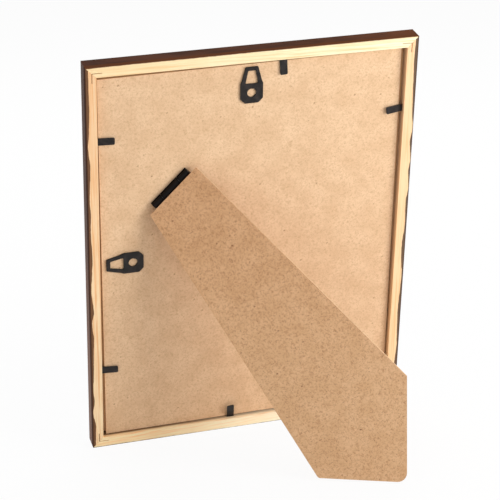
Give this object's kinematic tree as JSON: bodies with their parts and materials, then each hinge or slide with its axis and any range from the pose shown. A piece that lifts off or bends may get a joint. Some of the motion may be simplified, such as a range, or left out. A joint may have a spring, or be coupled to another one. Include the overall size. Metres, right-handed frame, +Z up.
{
  "type": "picture frame",
  "caption": "Rectangular wooden picture frame with glass, a board back held by bendable tabs, stamped hangers for either way up, and a folding diagonal easel leg on a pin hinge.",
  "frame": {"origin": "on the table, under the middle of the bounding box of the frame as it stands on its opened leg", "axes": "+Z up, -Y towards the viewer of the picture, +Y towards the back where the leg stands, +X to the left as seen from behind"},
  "size_m": [0.2324, 0.1424, 0.2955],
  "materials": {
    "stained_wood": "satin dark brown on the outer faces, lapping unevenly onto the bare pine of the back",
    "hardboard": "raw fibreboard with fine dark and pale fibre specks",
    "leg_board": "raw fibreboard, a little browner than the back, with pale sawn edges",
    "black_steel": "black lacquered sheet steel",
    "bare_steel": "bare drawn steel",
    "white_paper": "plain matt paper",
    "clear_glass": "clear float glass"
  },
  "bodies": {
    "frame": {"rail_bottom": "stained_wood", "rail_left": "stained_wood", "rail_top": "stained_wood", "rail_right": "stained_wood", "corner_nail_bottom_right": "bare_steel", "corner_nail_bottom_left": "bare_steel", "corner_nail_top_left": "bare_steel", "corner_nail_top_right": "bare_steel", "tab_left_upper_root": "black_steel", "tab_left_lower_root": "black_steel", "tab_top_root": "black_steel", "tab_right_upper_root": "black_steel", "tab_right_lower_root": "black_steel", "tab_bottom_root": "black_steel", "glass": "clear_glass", "insert_sheet": "white_paper", "backboard": "hardboard", "hanger_top": "black_steel", "hanger_left": "black_steel", "hinge_board_leaf": "black_steel", "hinge_pin": "bare_steel"},
    "leg": {"easel_leg": "leg_board", "hinge_leg_leaf": "black_steel"},
    "tab_left_upper": {"tab_left_upper": "black_steel"},
    "tab_left_lower": {"tab_left_lower": "black_steel"},
    "tab_top": {"tab_top": "black_steel"},
    "tab_right_upper": {"tab_right_upper": "black_steel"},
    "tab_right_lower": {"tab_right_lower": "black_steel"},
    "tab_bottom": {"tab_bottom": "black_steel"}
  },
  "joints": [
    {"name": "leg_fold", "type": "hinge", "parent": "frame", "child": "leg", "pos_m": [0.05788, -0.02509, 0.19947], "axis": [-0.7022, 0.1235, 0.7012], "range_deg": [0, 29.2]},
    {"name": "tab_left_upper_bend", "type": "hinge", "parent": "frame", "child": "tab_left_upper", "pos_m": [0.1078, -0.01988, 0.23913], "axis": [0, -0.1735, -0.9848], "range_deg": [-6, 84]},
    {"name": "tab_left_lower_bend", "type": "hinge", "parent": "frame", "child": "tab_left_lower", "pos_m": [0.1078, -0.05098, 0.06264], "axis": [0, -0.1735, -0.9848], "range_deg": [-6, 84]},
    {"name": "tab_top_bend", "type": "hinge", "parent": "frame", "child": "tab_top", "pos_m": [-0.02054, -0.0117, 0.28561], "axis": [0.9986, -0.0091, -0.0515], "range_deg": [-3, 87]},
    {"name": "tab_right_upper_bend", "type": "hinge", "parent": "frame", "child": "tab_right_upper", "pos_m": [-0.1078, -0.01958, 0.24084], "axis": [0.0872, 0.1728, 0.9811], "range_deg": [-6, 84]},
    {"name": "tab_right_lower_bend", "type": "hinge", "parent": "frame", "child": "tab_right_lower", "pos_m": [-0.1078, -0.05531, 0.03802], "axis": [0, 0.1735, 0.9848], "range_deg": [-6, 84]},
    {"name": "tab_bottom_bend", "type": "hinge", "parent": "frame", "child": "tab_bottom", "pos_m": [0.01206, -0.06045, 0.00887], "axis": [-0.9962, 0.0151, 0.0858], "range_deg": [-18, 72]}
  ]
}
